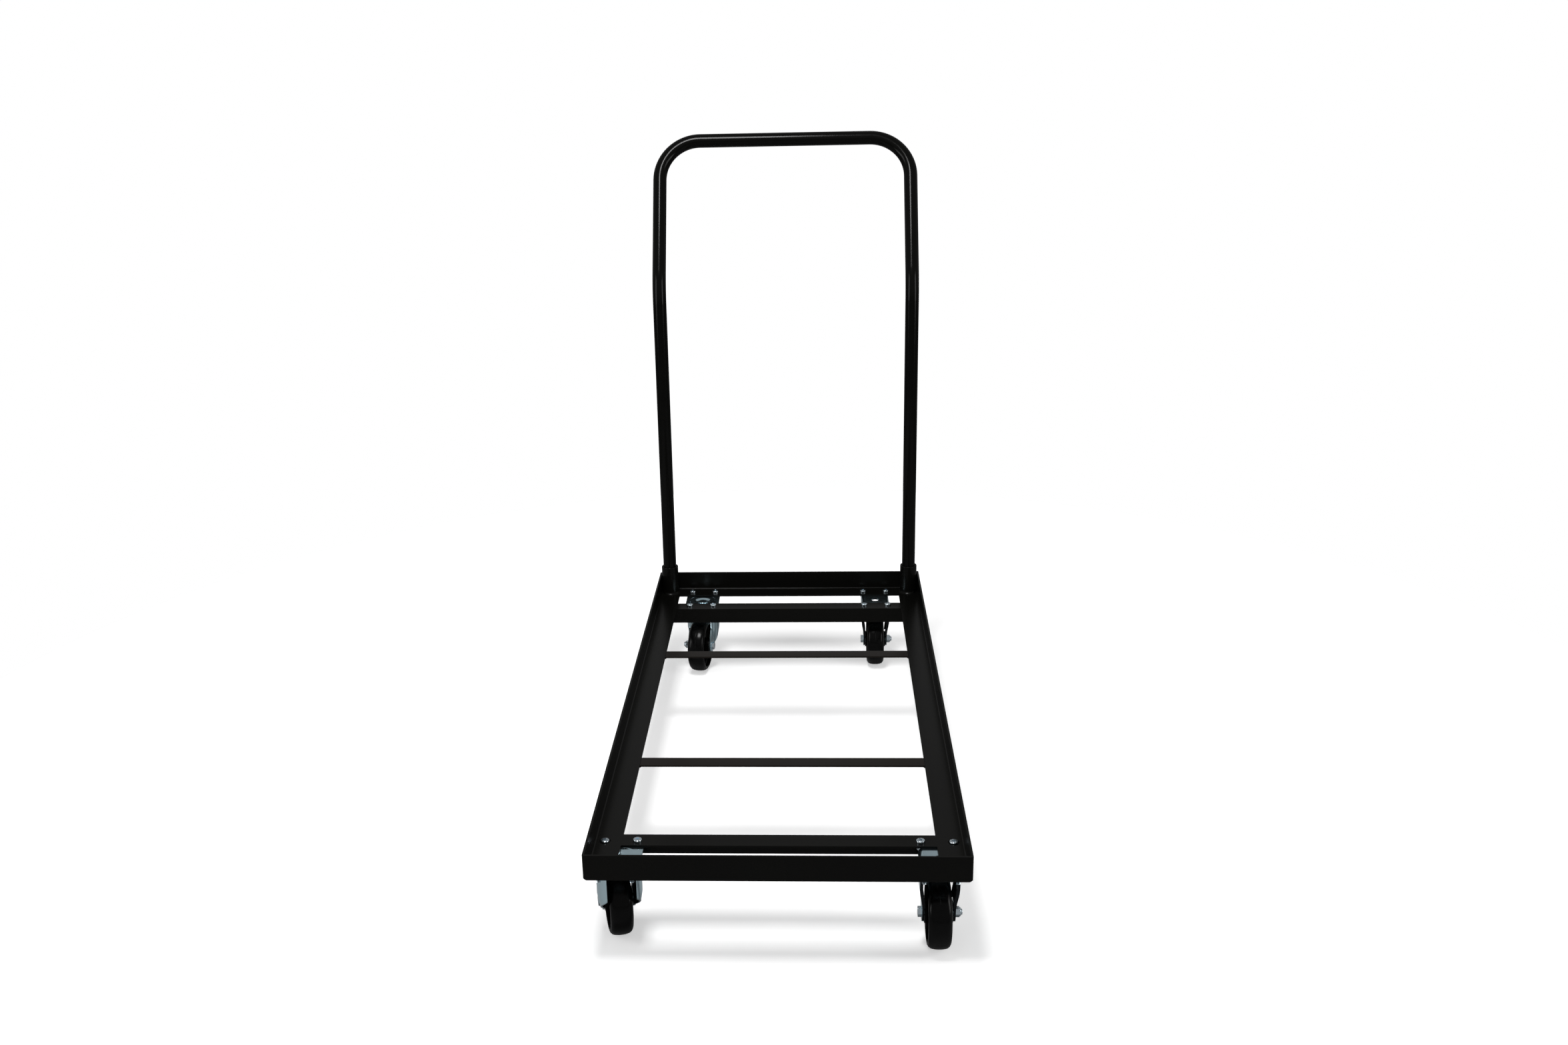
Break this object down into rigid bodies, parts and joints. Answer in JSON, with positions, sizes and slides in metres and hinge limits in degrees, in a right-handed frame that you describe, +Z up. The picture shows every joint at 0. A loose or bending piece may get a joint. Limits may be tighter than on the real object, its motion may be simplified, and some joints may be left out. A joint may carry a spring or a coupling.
{
  "type": "stacking chair trolley",
  "caption": "Low rectangular angle-steel trolley bed on swivel and rigid casters, with flat cross bars and a lift-out bent-tube push handle, for moving stacks of chairs.",
  "frame": {"origin": "on the floor, under the middle of the whole trolley's plan", "axes": "+Z up, +Y from the open front end towards the handle, +X to the right seen from the open end"},
  "size_m": [0.51, 1.2022, 1.005],
  "materials": {
    "frame_powder_coat": "semi-gloss black powder coat",
    "handle_black": "gloss black paint",
    "caster_zinc": "zinc plated pressed steel",
    "bright_zinc": "bright zinc plated fasteners",
    "wheel_black": "satin black moulded plastic"
  },
  "bodies": {
    "base": {"front_rail": "frame_powder_coat", "rear_rail": "frame_powder_coat", "left_rail": "frame_powder_coat", "right_rail": "frame_powder_coat", "front_cross_angle": "frame_powder_coat", "rear_cross_angle": "frame_powder_coat", "front_deck_bar": "frame_powder_coat", "rear_deck_bar": "frame_powder_coat", "left_handle_socket": "frame_powder_coat", "right_handle_socket": "frame_powder_coat", "socket_welds": "frame_powder_coat", "frame_welds": "frame_powder_coat", "caster_bolts": "bright_zinc", "caster_nuts": "bright_zinc", "front_left_plate": "caster_zinc", "front_left_kingpin": "caster_zinc", "rear_left_plate": "caster_zinc", "rear_left_kingpin": "caster_zinc", "front_right_fork": "caster_zinc", "front_right_axle_bolt": "caster_zinc", "front_right_axle_nut": "caster_zinc", "front_right_sleeve": "caster_zinc", "rear_right_fork": "caster_zinc", "rear_right_axle_bolt": "caster_zinc", "rear_right_axle_nut": "caster_zinc", "rear_right_sleeve": "caster_zinc"},
    "handle": {"push_handle": "handle_black"},
    "front_left_swivel": {"front_left_balls": "bright_zinc", "front_left_fork": "caster_zinc", "front_left_axle_bolt": "caster_zinc", "front_left_axle_nut": "caster_zinc", "front_left_sleeve": "caster_zinc"},
    "rear_left_swivel": {"rear_left_balls": "bright_zinc", "rear_left_fork": "caster_zinc", "rear_left_axle_bolt": "caster_zinc", "rear_left_axle_nut": "caster_zinc", "rear_left_sleeve": "caster_zinc"},
    "front_left_roller": {"front_left_wheel": "wheel_black"},
    "rear_left_roller": {"rear_left_wheel": "wheel_black"},
    "front_right_roller": {"front_right_wheel": "wheel_black"},
    "rear_right_roller": {"rear_right_wheel": "wheel_black"}
  },
  "joints": [
    {"name": "handle_lift", "type": "slide", "parent": "base", "child": "handle", "axis": [0, 0, 1], "range_m": [0, 0.06]},
    {"name": "front_left_swivel_turn", "type": "hinge", "parent": "base", "child": "front_left_swivel", "pos_m": [-0.216, -0.54111, 0.1], "axis": [0, 0, 1], "continuous": true},
    {"name": "rear_left_swivel_turn", "type": "hinge", "parent": "base", "child": "rear_left_swivel", "pos_m": [-0.168, 0.42289, 0.1], "axis": [0, 0, 1], "continuous": true},
    {"name": "front_left_wheel_spin", "type": "hinge", "parent": "front_left_swivel", "child": "front_left_roller", "pos_m": [-0.22351, -0.51207, 0.05], "axis": [0.9681, 0.2504, 0], "continuous": true},
    {"name": "rear_left_wheel_spin", "type": "hinge", "parent": "rear_left_swivel", "child": "rear_left_roller", "pos_m": [-0.17269, 0.39326, 0.05], "axis": [-0.9877, 0.1564, 0], "continuous": true},
    {"name": "front_right_wheel_spin", "type": "hinge", "parent": "base", "child": "front_right_roller", "pos_m": [0.216, -0.54111, 0.05], "axis": [1, 0, 0], "continuous": true},
    {"name": "rear_right_wheel_spin", "type": "hinge", "parent": "base", "child": "rear_right_roller", "pos_m": [0.168, 0.42289, 0.05], "axis": [1, 0, 0], "continuous": true}
  ]
}
